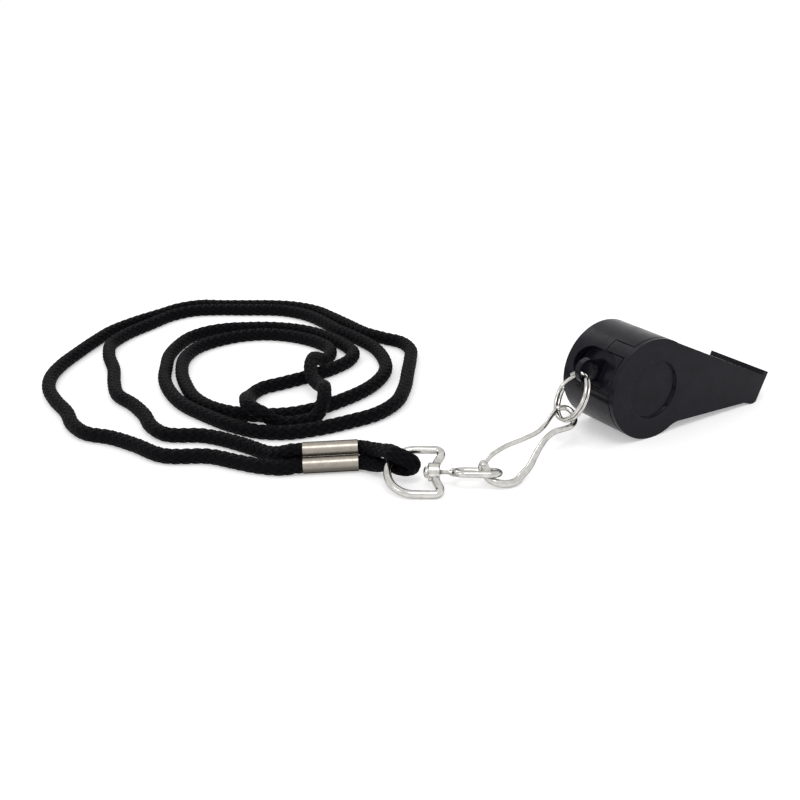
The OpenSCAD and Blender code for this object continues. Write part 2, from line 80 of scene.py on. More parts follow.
class WhistleColours(bpy.types.PropertyGroup):
    """Colours of the finishes."""
    plastic: bpy.props.FloatVectorProperty(
        name="Plastic", description="Moulded plastic", subtype="COLOR", size=3,
        default=(0.0046, 0.0042, 0.0068))
    nickel: bpy.props.FloatVectorProperty(
        name="Nickel", description="Nickel plated wire", subtype="COLOR", size=3,
        default=(0.68, 0.665, 0.635))
    sleeve: bpy.props.FloatVectorProperty(
        name="Sleeve", description="Crimped sleeve", subtype="COLOR", size=3, default=(0.45, 0.412, 0.362))
    cord: bpy.props.FloatVectorProperty(
        name="Cord", description="Braided cord", subtype="COLOR", size=3, default=(0.0019, 0.0017, 0.0024))
    cork: bpy.props.FloatVectorProperty(
        name="Cork", description="Pea in the chamber", subtype="COLOR", size=3, default=(0.5, 0.33, 0.18))
    floor: bpy.props.FloatVectorProperty(
        name="Floor", description="Table top", subtype="COLOR", size=3, default=(0.86, 0.86, 0.86))


# Shapes
def smooth_line(points, per):
    """Cubic Hermite curve through the points, with `per` steps a span. The slope at a point is the
    mean of its two spans' directions, the shorter span weighing more."""
    p = np.asarray(points, float)
    d = np.linalg.norm(np.diff(p, axis=0), axis=1)
    v = np.diff(p, axis=0) / d[:, None]
    m = np.zeros_like(p)
    m[0], m[-1] = v[0], v[-1]
    m[1:-1] = (v[1:] * d[:-1, None] + v[:-1] * d[1:, None]) / (d[:-1] + d[1:])[:, None]
    t = np.arange(per) / per
    a, b = 2 * t**3 - 3 * t**2 + 1, t**3 - 2 * t**2 + t
    c, e = -2 * t**3 + 3 * t**2, t**3 - t**2
    out = (a[None, :, None] * p[:-1, None] + b[None, :, None] * (d[:, None] * m[:-1])[:, None]
           + c[None, :, None] * p[1:, None] + e[None, :, None] * (d[:, None] * m[1:])[:, None])
    return np.vstack([out.reshape(-1, 3), p[-1:]])


def even(line, step):
    """The same curve with its points `step` apart, by linear interpolation over its length."""
    s = np.r_[0, np.cumsum(np.linalg.norm(np.diff(line, axis=0), axis=1))]
    t = np.linspace(0, s[-1], max(2, int(round(s[-1] / step)) + 1))
    return np.stack([np.interp(t, s, line[:, k]) for k in range(3)], axis=1), t


def unit(v):
    """Each vector over its length."""
    v = np.asarray(v, float)
    return v / np.linalg.norm(v, axis=-1, keepdims=True)


def linked(name, mesh, angle):
    """An object that shows the mesh, smooth except at edges over the angle in degrees."""
    mesh.shade_smooth()
    mesh.set_sharp_from_angle(angle=radians(angle))
    piece = bpy.data.objects.new(name, mesh)
    bpy.context.scene.collection.objects.link(piece)
    return piece


# Degrees between two faces above which the edge of a drawn shape shows as an edge
DRAWN_SHARP = 40


def grid_mesh(name, rings, closed, uv=None):
    """A tube from rings of points, shape (rings, sides, 3): quads between neighbours, round and
    along, with flat ends or a closed run. uv gives u for each ring and the step of v a side."""
    n, m = rings.shape[:2]
    i = np.arange(n if closed else n - 1)
    k = np.arange(m)
    a = (i[:, None] * m + k[None]).ravel()
    b = (i[:, None] * m + (k[None] + 1) % m).ravel()
    nxt = (i + 1) % n
    c = (nxt[:, None] * m + (k[None] + 1) % m).ravel()
    d = (nxt[:, None] * m + k[None]).ravel()
    faces = np.stack([a, b, c, d], axis=1).tolist()
    if not closed:
        faces += [list(range(m))[::-1], list(range((n - 1) * m, n * m))]
    mesh = bpy.data.meshes.new(name)
    mesh.from_pydata(rings.reshape(-1, 3).tolist(), [], faces)
    if uv is not None:
        u, v_step = uv
        here, there = u[i].repeat(m), u[nxt].repeat(m)
        us = np.stack([here, here, there, there], 1)
        vs = np.tile(np.stack([k, k + 1, k + 1, k], 1) * v_step, (len(i), 1))
        flat = np.zeros((len(mesh.loops), 2))
        flat[:us.size] = np.stack([us.ravel(), vs.ravel()], 1)
        mesh.uv_layers.new(name="Braid").data.foreach_set("uv", flat.ravel())
    mesh.validate()
    bm = bmesh.new()
    bm.from_mesh(mesh)
    bmesh.ops.recalc_face_normals(bm, faces=bm.faces)
    bm.to_mesh(mesh)
    bm.free()
    return linked(name, mesh, DRAWN_SHARP)


def slopes(line, closed=False):
    """Unit direction of the curve at each point, from its two neighbours."""
    if closed:
        return unit(np.roll(line, -1, 0) - np.roll(line, 1, 0))
    return unit(np.gradient(line, axis=0))


# Rings in a wire's rounded end, and the share of its radius that is left at the tip
END_RINGS, TIP_SHARE = 6, 0.03


def rings_along(line, t, side, ra, rb, sides):
    """Ellipses across a curve with directions t: ra along `side` and rb at right angles to it. The
    radii are numbers for each ring, or for each point of each ring."""
    s = np.broadcast_to(np.asarray(side, float), line.shape)
    s = unit(s - t * np.sum(s * t, 1, keepdims=True))
    u = np.cross(t, s)
    w = 2 * pi * np.arange(sides) / sides
    return line[:, None] + s[:, None] * (ra * np.cos(w))[..., None] + u[:, None] * (rb * np.sin(w))[..., None]


def tube(name, line, side, radius, sides=24, closed=False, round_ends=False):
    """A round wire along a curve. Rounded ends shrink the last rings as a quarter circle: sine of the
    angle along, cosine of it across."""
    t = slopes(line, closed)
    r = np.broadcast_to(radius, len(line)).astype(float)
    if round_ends:
        q = np.linspace(0, pi / 2, END_RINGS + 1)[1:]
        shrink = np.maximum(np.cos(q), TIP_SHARE)
        first = line[0] - t[0] * (np.sin(q) * r[0])[:, None]
        last = line[-1] + t[-1] * (np.sin(q) * r[-1])[:, None]
        line = np.vstack([first[::-1], line, last])
        t = np.vstack([np.repeat(t[:1], END_RINGS, 0), t, np.repeat(t[-1:], END_RINGS, 0)])
        r = np.r_[(shrink * r[0])[::-1], r, shrink * r[-1]]
    return grid_mesh(name, rings_along(line, t, side, r[:, None], r[:, None], sides), closed)


def lathe(name, profile, origin, axes, sides=40, closed=True):
    """A profile of (distance along, radius) pairs in mm turned about the first axis through the
    origin."""
    p = np.asarray(profile, float) * MM
    w = 2 * pi * np.arange(sides) / sides
    rings = (np.asarray(origin) + p[:, 0, None, None] * axes[0]
             + p[:, 1, None, None] * (np.cos(w)[:, None] * axes[1] + np.sin(w)[:, None] * axes[2]))
    return grid_mesh(name, rings, closed)


def prism(name, outline, z0, z1, rim, place):
    """A plate: a flat outline between two heights, drawn in by `rim` towards its middle at both
    faces so that its edges are chamfered."""
    o = np.asarray(outline, float)
    mid = o.mean(0)
    inner = o - unit(o - mid) * rim
    rings = np.stack([np.c_[inner, np.full(len(o), z0)], np.c_[o, np.full(len(o), z0 + rim)],
                      np.c_[o, np.full(len(o), z1 - rim)], np.c_[inner, np.full(len(o), z1)]])
    return grid_mesh(name, place(rings), False)


def turned(yaw, pitch, roll):
    """Rotation that rolls about X, then lifts X by the pitch, then turns it by the yaw."""
    return np.array(Matrix.Rotation(radians(yaw), 3, "Z") @ Matrix.Rotation(radians(-pitch), 3, "Y")
                    @ Matrix.Rotation(radians(roll), 3, "X"))


# How merging treats a CAD mesh: points nearer than WELD m are one, an edge or a face thinner than
# SLIVER m goes, and faces within FLAT degrees of each other are one face
WELD, SLIVER, FLAT = 1e-6, 5e-6, 0.4
# Degrees above which their edges show as edges
MOULD_SHARP, SLEEVE_SHARP, PEA_SHARP = 8.5, 30, 60


def merged(node, name, angle):
    """A copy of a CAD node with its loose triangles joined, smooth except at edges over the angle."""
    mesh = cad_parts[node].data.copy()
    mesh.name = name
    mesh.materials.clear()
    bm = bmesh.new()
    bm.from_mesh(mesh)
    bmesh.ops.remove_doubles(bm, verts=bm.verts, dist=WELD)
    bmesh.ops.dissolve_degenerate(bm, dist=SLIVER, edges=bm.edges)
    bmesh.ops.dissolve_limit(bm, angle_limit=radians(FLAT), verts=bm.verts, edges=bm.edges)
    bmesh.ops.triangulate(bm, faces=[f for f in bm.faces if len(f.verts) > 4])
    bm.to_mesh(mesh)
    bm.free()
    return linked(name, mesh, angle)


def settle(piece, body, slot, material, *nodes):
    """Gives a piece its finish, its body and the CAD nodes it stands for. The slot is not used."""
    piece.data.materials.clear()
    piece.data.materials.append(material)
    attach(piece, body)
    if nodes:
        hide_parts(*nodes)


# Finishes
GRAIN = 0.02 * MM


def shade(colour, share):
    """A colour with its three numbers times the share."""
    return tuple(share * x for x in colour)


class Finish:
    """A material under construction: its node tree and its main shader."""

    def __init__(self, name):
        self.material = bpy.data.materials.new(name)
        self.material.use_nodes = True
        self.tree = self.material.node_tree
        self.shader = self.tree.nodes["Principled BSDF"]

    def add(self, kind, **values):
        """A node of this kind, with some of its inputs and settings given by name."""
        node = self.tree.nodes.new(kind)
        for key, value in values.items():
            if key in node.inputs:
                node.inputs[key].default_value = value
            else:
                setattr(node, key, value)
        return node

    def join(self, out, into):
        self.tree.links.new(out, into)

    def maths(self, operation, *values):
        """An operation on values that are numbers or other nodes' outputs."""
        node = self.add("ShaderNodeMath", operation=operation)
        for value, into in zip(values, node.inputs):
            if isinstance(value, (int, float)):
                into.default_value = value
            else:
                self.join(value, into)
        return node.outputs[0]

    def place(self):
        return self.add("ShaderNodeTexCoord").outputs["Object"]

    def noise(self, scale, detail, coords=None):
        """Noise by place, or by other coordinates."""
        node = self.add("ShaderNodeTexNoise", Scale=scale, Detail=detail)
        self.join(coords or self.place(), node.inputs["Vector"])
        return node.outputs["Fac"]

    def spread(self, value, low, high):
        """A value from 0.3 to 0.7 spread from low to high."""
        node = self.add("ShaderNodeMapRange")
        for key, number in (("From Min", 0.3), ("From Max", 0.7), ("To Min", low), ("To Max", high)):
            node.inputs[key].default_value = number
        self.join(value, node.inputs["Value"])
        return node.outputs[0]

    def tint(self, value, low, high):
        """A colour between low and high by the value."""
        node = self.add("ShaderNodeMix", data_type="RGBA")
        node.inputs["A"].default_value = (*low, 1)
        node.inputs["B"].default_value = (*high, 1)
        self.join(value, node.inputs["Factor"])
        self.join(node.outputs["Result"], self.shader.inputs["Base Color"])

    def relief(self, height, distance, strength=1.0, normal=None):
        """A bump as deep as the distance, on the surface's own normal or another one."""
        node = self.add("ShaderNodeBump", Distance=distance, Strength=strength)
        self.join(height, node.inputs["Height"])
        if normal is not None:
            self.join(normal, node.inputs["Normal"])
        self.join(node.outputs[0], self.shader.inputs["Normal"])


def plastic(edge):
    """Moulded plastic: satin gloss with slow flow marks, a fine grain and softly rounded edges."""
    f = Finish("Moulded plastic")
    c = bpy.context.scene.whistle_colours.plastic
    f.tint(f.spread(f.noise(260, 3), 0, 1), c, shade(c, 2.0))
    f.join(f.spread(f.noise(420, 4), 0.2, 0.34), f.shader.inputs["Roughness"])
    f.shader.inputs["Specular IOR Level"].default_value = 0.12
    soft = f.add("ShaderNodeBevel", samples=6, Radius=edge)
    f.relief(f.noise(2600, 3), GRAIN, 0.6, soft.outputs[0])
    return f.material


def metal(name, low, high):
    """The start of a metal finish: clouds of roughness from low to high, a fine grain, and darker at
    a low angle."""
    f = Finish(name)
    f.shader.inputs["Metallic"].default_value = 1.0
    f.shader.inputs["Specular Tint"].default_value = (0.1, 0.1, 0.1, 1)
    f.join(f.spread(f.noise(1500, 4), low, high), f.shader.inputs["Roughness"])
    f.relief(f.noise(5200, 3), GRAIN, 0.5)
    return f


def nickel(name, high):
    """Plated wire: bright metal with faint clouds, up to the roughness `high`."""
    f = metal(name, 0.1, high)
    c = bpy.context.scene.whistle_colours.nickel
    f.tint(f.spread(f.noise(700, 3), 0, 1), shade(c, 0.72), c)
    return f.material


def sleeve():
    """Crimped sleeve: plated metal, with a painted highlight along the crown of each barrel and painted shade
    in the valley between the barrels and down their outer sides. The share of painted highlight is one minus
    the square of the distance from the barrel's own middle plane, over the half width of its bright crown."""
    f = metal("Sleeve metal", 0.24, 0.36)
    c = bpy.context.scene.whistle_colours.sleeve
    crown = 1.5 * MM
    across = f.add("ShaderNodeVectorMath", operation="DOT_PRODUCT")
    f.join(f.place(), across.inputs[0])
    normal = turned(FERRULE_YAW, 0, FERRULE_ROLL)[:, 1]
    across.inputs[1].default_value = tuple(normal)
    middle = float(normal @ FERRULE_AT) * MM
    off = f.maths("ABSOLUTE", f.maths("SUBTRACT", across.outputs["Value"], middle))
    off = f.maths("DIVIDE", f.maths("SUBTRACT", off, BARREL_GAP / 2 * MM), crown)
    # Painted highlight along each barrel's crown, falling to painted shade in the valley between the barrels
    # and down their outer sides
    painted_highlight = f.maths("MAXIMUM", f.maths("SUBTRACT", 1.0, f.maths("MULTIPLY", off, off)), 0.0)
    cloud = f.spread(f.noise(700, 3), 0.75, 1)
    f.tint(f.maths("MULTIPLY", painted_highlight, cloud), shade(c, 0.3), c)
    return f.material


def cork():
    """Cork: warm brown with darker pores."""
    f = Finish("Cork")
    c = bpy.context.scene.whistle_colours.cork
    f.tint(f.spread(f.noise(1400, 6), 0, 1), shade(c, 0.45), c)
    f.shader.inputs["Roughness"].default_value = 0.8
    f.relief(f.noise(2200, 5), 0.15 * MM, 0.8)
    return f.material


# Height of a strand that dives under, as a share of one on top, and how far its fibres stand out
LOW_STRAND, FIBRE_RELIEF = 0.45, 0.35
# Fibres across a strand, and their turns along it
FIBRES, FIBRE_TURNS = 9.0, 1.2


def braid():
    """Braided cord on its own UV: two families of strands cross, each over the other in turn, with
    fine fibres along every strand. u counts crossings along the cord and v counts them round it."""
    f = Finish("Braided cord")
    c = bpy.context.scene.whistle_colours.cord
    uv = f.add("ShaderNodeUVMap", uv_map="Braid")
    split = f.add("ShaderNodeSeparateXYZ")
    f.join(uv.outputs[0], split.inputs[0])
    u, v = split.outputs["X"], split.outputs["Y"]
    plus, minus = f.maths("ADD", u, v), f.maths("SUBTRACT", u, v)

    def ridge(x):
        """One minus the square of the distance from a strand's middle line over its half width."""
        off = f.maths("SUBTRACT", f.maths("MULTIPLY", f.maths("FRACT", x), 2.0), 1.0)
        return f.maths("SUBTRACT", 1.0, f.maths("MULTIPLY", off, off))

    def fibre(x, along):
        """Fine lines that follow a strand."""
        mix = f.add("ShaderNodeCombineXYZ")
        f.join(f.maths("MULTIPLY", x, FIBRES), mix.inputs[0])
        f.join(f.maths("MULTIPLY", along, FIBRE_TURNS), mix.inputs[1])
        return f.noise(1.0, 2.0, mix.outputs[0])

    def strand(x, top):
        """Height of a strand, by whether it lies on top."""
        share = f.maths("ADD", LOW_STRAND, f.maths("MULTIPLY", top, 1 - LOW_STRAND))
        return f.maths("MULTIPLY", ridge(x), share)

    rows = f.maths("ADD", f.maths("FLOOR", plus), f.maths("FLOOR", minus))
    over = f.maths("ABSOLUTE", f.maths("MODULO", rows, 2.0))
    under = f.maths("SUBTRACT", 1.0, over)
    height = f.maths("MAXIMUM", strand(plus, over), strand(minus, under))
    first = f.maths("MULTIPLY", fibre(plus, minus), over)
    second = f.maths("MULTIPLY", fibre(minus, plus), under)
    lines = f.maths("ADD", first, second)
    total = f.maths("ADD", height, f.maths("MULTIPLY", lines, FIBRE_RELIEF))
    # Base colour follows the strands' height: painted shade in the grooves and where a strand dives under,
    # painted highlight on the raised strands and their fibres
    f.tint(f.maths("MULTIPLY", height, lines), shade(c, 0.5), shade(c, 3.0))
    f.join(f.spread(lines, 0.42, 0.62), f.shader.inputs["Roughness"])
    f.shader.inputs["Specular IOR Level"].default_value = 0.04
    f.relief(total, 0.22 * MM, 1.0)
    return f.material


# Cord. The routes are in mm, and a point without a height rests on the table
CORD_ROUTE = [
    (-82.2, 28.5, 3), (-83.5, 33.5), (-86, 41), (-91, 50.5), (-98, 57), (-99, 63), (-98, 71), (-98, 79),
    (-99, 87), (-97, 96), (-94, 105), (-91, 118), (-88, 125), (-83, 129.5), (-72, 135), (-65, 138),
    (-58, 138), (-52, 134.5), (-46, 129.5), (-36, 120), (-33, 113), (-32, 105), (-32, 96), (-31, 85),
    (-31, 76), (-33, 68), (-37, 60), (-42, 55), (-48, 51.5), (-55, 49.5), (-62, 48.5), (-69, 49.5),
    (-75, 53), (-80, 58.5), (-83, 65), (-84, 73), (-82.5, 83), (-80, 92), (-74, 103), (-69, 107),
    (-63, 108.5), (-56, 108), (-50, 105), (-45.5, 100), (-42.5, 94), (-41, 88), (-41, 83), (-43, 79),
    (-46.5, 75.5, 2), (-50, 72.5, 4.3), (-53, 69, 5.8), (-55.5, 65.5, 5.3), (-57, 62, 4.3),
    (-57.5, 58.5, 3.8), (-58, 54.5, 4.3), (-60, 49.5, 5.8), (-62.5, 45.5, 4.3), (-66, 43.5, 2),
    (-70, 44), (-74, 45.5, 2),
    (-77.5, 47.5, 4.8), (-79, 51, 5.8), (-77.5, 56, 5.3), (-75, 61.5, 3.2), (-72, 66), (-68, 68.5),
    (-62, 68.5), (-54, 68.5), (-47, 69.5), (-41, 72), (-37.5, 76), (-36.5, 81), (-36.5, 87), (-37.5, 94),
    (-40, 101), (-45, 108), (-51, 113), (-57, 116.5), (-62, 117.5), (-68, 116), (-73, 112), (-78, 106),
    (-82, 98), (-85.5, 90), (-87.5, 81), (-88, 72), (-86, 61), (-83, 51), (-79.5, 44.5), (-75, 40.5),
    (-68, 38), (-60, 37), (-53, 37), (-46, 40), (-40, 46), (-33, 55.5), (-28, 62.5), (-24, 69),
    (-23, 75), (-25, 81), (-27, 88), (-27.5, 96), (-28, 105), (-29, 114), (-32, 121), (-37, 127),
    (-43, 132), (-49, 137), (-54, 141.5), (-60, 143), (-67, 141.5), (-77, 139), (-84, 136), (-91, 130.5),
    (-98, 124), (-104, 118), (-109, 111), (-112, 103), (-113, 94), (-113, 84), (-114, 76), (-113, 69),
    (-109, 63), (-106, 56), (-102.5, 46), (-94, 39), (-90.5, 33), (-87, 27.6), (-83.5, 24.2)]
BIGHT_ROUTE = [
    (-66.8, 15, 4.75), (-66.6, 11.8, 5.7), (-66.5, 8.6, 6.75), (-66.4, 6.7, 7), (-65.3, 5.3, 6.35),
    (-64.1, 4.3, 5.6), (-63.2, 3.9, 4.6), (-63, 4.2, 3.6), (-63.5, 5.2, 2.9), (-64.6, 6.6, 3),
    (-65.5, 8.1, 3.25), (-65.9, 9.4, 2.95), (-66.8, 11.4, 2.45), (-67.5, 13.6, 2)]
# The bight is pressed flat where it turns round the D ring: the direction of its breadth, the middle
# of the turn, and by distance from there the share of its thickness and of its radius
BIGHT_SIDE, BIGHT_FLAT = (0.89, 0.29, 0.33), (-66, 7.4, 5.1)
FLAT_REACH, FLAT_SHARE = (2.4, 3.6, 4.6, 6), (0.67, 0.74, 0.86, 1)
FULL_REACH, FULL_SHARE = (4, 6), (1, 1.06)
FERRULE_AT = np.array((-79.2, 23.3, 3.1))
FERRULE_YAW, FERRULE_ROLL, FERRULE_LEN, BARREL_GAP = -29.8, 45, 11.9, 3.45
# Gap before the mouth of the sleeve, and where the bight's ends lie from the sleeve's far mouth
MOUTH_GAP, BIGHT_IN, BIGHT_OUT = 0.03, 1, 0.5
# Share of the radius that the sleeve takes from each cord at its mouths, and how far that reaches
LOOP_PINCH, BIGHT_PINCH = (0.06, 0.8 * MM), (0.13, 1.2 * MM)
# Crossings of the braid round the cord, the height of a strand that keeps the cord's diameter, and
# the share of the relief that stays where the cord is drawn tight
CROSSINGS_ROUND, MEAN_STRAND, TIGHT_RELIEF = 8, 0.62, 0.8
# Steps a span of the curves, and the lengths of a step of the cord's path and of the meshes
SPAN_STEPS, PATH_STEP, LOOP_STEP, BIGHT_STEP = 14, 1.5 * MM, 0.3 * MM, 0.22 * MM
LOOP_SIDES, BIGHT_SIDES = 20, 28


def mouth(side, along):
    """Middle of a barrel's bore, on one side of the ferrule, at a distance along it."""
    axes = turned(FERRULE_YAW, 0, FERRULE_ROLL)
    return FERRULE_AT + axes[:, 0] * along + axes[:, 1] * side * BARREL_GAP / 2


def led(route, near, far):
    """A route in metres whose two ends run on through the ferrule's two bores, at `near` and `far`
    along them."""
    ends = [[mouth(side, near), mouth(side, far)] for side in (1, -1)]
    return np.array([*ends[0], *route, *ends[1][::-1]]) * MM


def pinch(run, depth, reach):
    """Share of the radius that is lost at both ends of a run, where the sleeve grips the cord. It
    fades over the reach."""
    return depth * np.exp(-np.minimum(run, run[-1] - run) / reach)


def braided(name, line, run, side, ra, rb, sides, pitch, relief):
    """A braided tube: an ellipse across the curve whose radius swells where a strand lies over the
    other one. A strand's height is a parabola across it, lower where it dives under."""
    along = (run / pitch)[:, None]
    round_ = (np.arange(sides) * CROSSINGS_ROUND / sides)[None]
    plus, minus = along + round_, along - round_
    over = np.mod(np.floor(plus) + np.floor(minus), 2)
    dive = 1 - LOW_STRAND
    first = (1 - (2 * np.mod(plus, 1) - 1) ** 2) * (LOW_STRAND + dive * over)
    second = (1 - (2 * np.mod(minus, 1) - 1) ** 2) * (1 - dive * over)
    swell = relief * (np.maximum(first, second) - MEAN_STRAND)
    rings = rings_along(line, slopes(line), side, ra[:, None] + swell, rb[:, None] + swell, sides)
    return grid_mesh(name, rings, False, uv=(run / pitch, CROSSINGS_ROUND / sides))


class WHISTLE_OT_cord(bpy.types.Operator):
    """Lays the braided neck cord and its bight through the D ring"""
    bl_idname = "whistle.cord"
    bl_label = "Neck cord"

    def execute(self, context):
        size = context.scene.whistle_sizes
        finish = braid()
        r = size.cord / 2
        half = r / MM
        route = [p if len(p) == 3 else (*p, half) for p in CORD_ROUTE]
        curve = smooth_line(led(route, -MOUTH_GAP, -half), SPAN_STEPS)
        line, run = even(curve, LOOP_STEP)
        line[:, 2] = np.maximum(line[:, 2], r)
        side = unit(np.cross((0, 0, 1), slopes(line)))
        width = r * (1 - pinch(run, *LOOP_PINCH))
        loop = braided("Cord_loop", line, run, side, width, width, LOOP_SIDES,
                       size.braid_pitch, size.braid_relief)
        settle(loop, "lanyard", "cord", finish, "cord_loop")

        points = led(BIGHT_ROUTE, FERRULE_LEN - BIGHT_IN, FERRULE_LEN + BIGHT_OUT)
        line, run = even(smooth_line(points, SPAN_STEPS), BIGHT_STEP)
        off = np.linalg.norm(line / MM - BIGHT_FLAT, axis=1)
        flat = np.interp(off, FLAT_REACH, FLAT_SHARE)
        width = size.bight / 2 * (np.interp(off, FULL_REACH, FULL_SHARE) - pinch(run, *BIGHT_PINCH))
        bight = braided("Cord_bight", line, run, BIGHT_SIDE, width / np.sqrt(flat), width * flat, BIGHT_SIDES,
                        size.braid_pitch, TIGHT_RELIEF * size.braid_relief)
        settle(bight, "lanyard", "cord", finish, "cord_bight")
        return {"FINISHED"}


class WHISTLE_OT_ferrule(bpy.types.Operator):
    """Finishes the crimped double sleeve"""
    bl_idname = "whistle.ferrule"
    bl_label = "Ferrule"

    def execute(self, context):
        settle(merged("ferrule", "Ferrule", SLEEVE_SHARP), "lanyard", "sleeve", sleeve(), "ferrule")
        return {"FINISHED"}


# Wire pieces. Sizes and places are in mm, and the hook's and the gate's lines lie in the hook's plane
HOOK_AT, HOOK_TURN = np.array((-47.4, -6.05, 2.95)), turned(15.9, 9.9, 27)
HOOK_LINE = [(-3.9, 1.9), (-4.6, 0), (-4.2, -1.6), (-3.2, -2.8), (-1.9, -3.7), (-0.4, -4.1), (1.5, -3.9),
             (4.7, -3.5), (8.2, -2.4), (11.5, -1.5), (14.5, -1), (17, -1.15), (19, -1.9), (21, -2.5),
             (22.6, -2.3), (23.8, -1.5), (24.6, -0.3), (24.6, 1.3), (23, 2.6)]
GATE_LINE = [(-2.48, 3.2), (-1.2, 3.5), (0.2, 3.7), (2.6, 3.6), (5, 3.3), (9.5, 2.1), (14.3, 1.25),
             (16.7, 1.45), (19.2, 2), (22, 2.5)]
# The hook's wire thins by this share, from this place along it and over this length
TAPER, TAPER_FROM, TAPER_RUN = 0.25, -1, 15
GATE_PIN, CHEEK_END = np.array((-3.2, 3.0)), np.array((-4.15, 1.2))
CHEEK_LOW, CHEEK_HIGH, CHEEK_RIM = 0.65, 1.1, 0.1
EYE_AT, EYE_TURN, D_TURN = np.array((-57.6, -2, 3.3)), turned(-34.5, -2, -16.5), turned(-34.5, -2, 25)
POST_LEN, POST_R, BOSS_HALF, BOSS_R, BORE_R = 3.6, 0.45, 1.2, 1.95, 0.51
RING_AT, RING_NORMAL = np.array((-23.8, 0.7, 10.7)), unit(np.array((0.831, -0.234, -0.505)))
RING_RADIUS, RING_TURN, TURN_GAP = 5.5, 200, 0.02
# Degrees along the split ring's wire: its two ends, and the joggle from one turn to the other
WIRE_FROM, WIRE_TO, WIRE_STEP, JOGGLE_FROM, JOGGLE_SPAN = 24, 696, 4, 336, 48
# Turned pieces: distance along the axis and radius
PIN_R, HOLE_R, BARREL_R = 0.5, 0.56, 0.95
PIN = [(-0.35, 0.01), (-0.35, 0.42), (-0.28, PIN_R), (1.1, PIN_R), (1.12, 0.66), (1.22, 0.6), (1.3, 0.42),
       (1.32, 0.01)]
BARREL = [(-0.35, 0.6), (-0.35, 0.86), (-0.26, BARREL_R), (0.46, BARREL_R), (0.55, 0.86), (0.55, 0.6),
          (0.51, HOLE_R), (-0.31, HOLE_R)]
RIVET = [(-0.9, 0.01), (-0.86, 0.5), (-0.7, 0.95), (-0.42, 1.22), (-0.2, 1.3), (0, 1.3), (0, 0.5),
         (0.02, POST_R)]
STEM = [(-0.6, POST_R), (-0.1, 0.75), (0.4, 0.9), (0.9, 0.8), (1.1, 0.5), (1.2, 0.01)]
BOSS = [(-BOSS_HALF, 0.56), (-BOSS_HALF, 1.75), (-1.0, BOSS_R), (1.0, BOSS_R), (BOSS_HALF, 1.75),
        (BOSS_HALF, 0.56), (1.14, BORE_R), (-1.14, BORE_R)]


def carried(points, turn, at):
    """Points of a piece's own frame, in mm, carried to their place, in metres."""
    return (np.asarray(points, float) @ turn.T + at) * MM


def on_hook(points):
    """Points of the hook's own frame carried to their place."""
    return carried(points, HOOK_TURN, HOOK_AT)


def flat_line(pairs, per):
    """A smooth curve through pairs of a plane, with a zero third coordinate."""
    return smooth_line([(x, y, 0) for x, y in pairs], per)


class WHISTLE_OT_split_ring(bpy.types.Operator):
    """Winds the split ring's two turns of wire"""
    bl_idname = "whistle.split_ring"
    bl_label = "Split ring"

    def execute(self, context):
        r = context.scene.whistle_sizes.ring_wire / 2
        t = np.arange(WIRE_FROM, WIRE_TO + 1, WIRE_STEP)
        rise = np.clip((t - JOGGLE_FROM) / JOGGLE_SPAN, 0, 1)
        level = 2 * rise**2 * (3 - 2 * rise) - 1
        a = unit(np.cross(RING_NORMAL, (0, 0, 1)))
        b = np.cross(RING_NORMAL, a)
        turn = np.radians(t + RING_TURN)
        line = (RING_AT + RING_RADIUS * (np.cos(turn)[:, None] * a + np.sin(turn)[:, None] * b)) * MM
        line = line + RING_NORMAL * (level * (r + TURN_GAP * MM))[:, None]
        ring = tube("Split_ring", line, RING_NORMAL, r, sides=18, round_ends=True)
        settle(ring, "ring", "ring_wire", nickel("Spring wire", 0.2), "split_ring")
        return {"FINISHED"}


class WHISTLE_OT_hook(bpy.types.Operator):
    """Bends the hook's wire and sets its gate on the pin"""
    bl_idname = "whistle.hook"
    bl_label = "Hook and gate"

    def execute(self, context):
        size = context.scene.whistle_sizes
        wire = nickel("Hook wire", 0.22)
        flat = flat_line(HOOK_LINE, 10)
        r = size.hook_wire / 2
        thin = 1 - TAPER * np.clip((flat[:, 0] - TAPER_FROM) / TAPER_RUN, 0, 1)
        body = tube("Hook_wire", on_hook(flat), HOOK_TURN[:, 2], r * thin, round_ends=True)
        settle(body, "hook", "hook_wire", wire, "hook_body")

        w = np.linspace(0, pi, 17)
        away = unit(CHEEK_END - GATE_PIN)
        across = np.array((-away[1], away[0]))
        arch = np.cos(w)[:, None] * across - np.sin(w)[:, None] * away
        outline = np.vstack([GATE_PIN + BARREL_R * arch, CHEEK_END - r / MM * arch])
        cheek = prism("Hook_cheek", outline, CHEEK_LOW, CHEEK_HIGH, CHEEK_RIM, on_hook)
        settle(cheek, "hook", "hook_wire", wire)
        at, axes = on_hook([(*GATE_PIN, 0)])[0], HOOK_TURN.T[[2, 0, 1]]
        pin = lathe("Hook_pin", PIN, at, axes, sides=28, closed=False)
        settle(pin, "hook", "hook_wire", wire)

        line = on_hook(flat_line(GATE_LINE, 8))
        gate = tube("Gate_wire", line, HOOK_TURN[:, 2], size.gate_wire / 2, round_ends=True)
        settle(gate, "gate", "hook_wire", wire, "hook_gate")
        barrel = lathe("Gate_barrel", BARREL, at, axes, sides=32)
        settle(barrel, "gate", "hook_wire", wire)
        return {"FINISHED"}


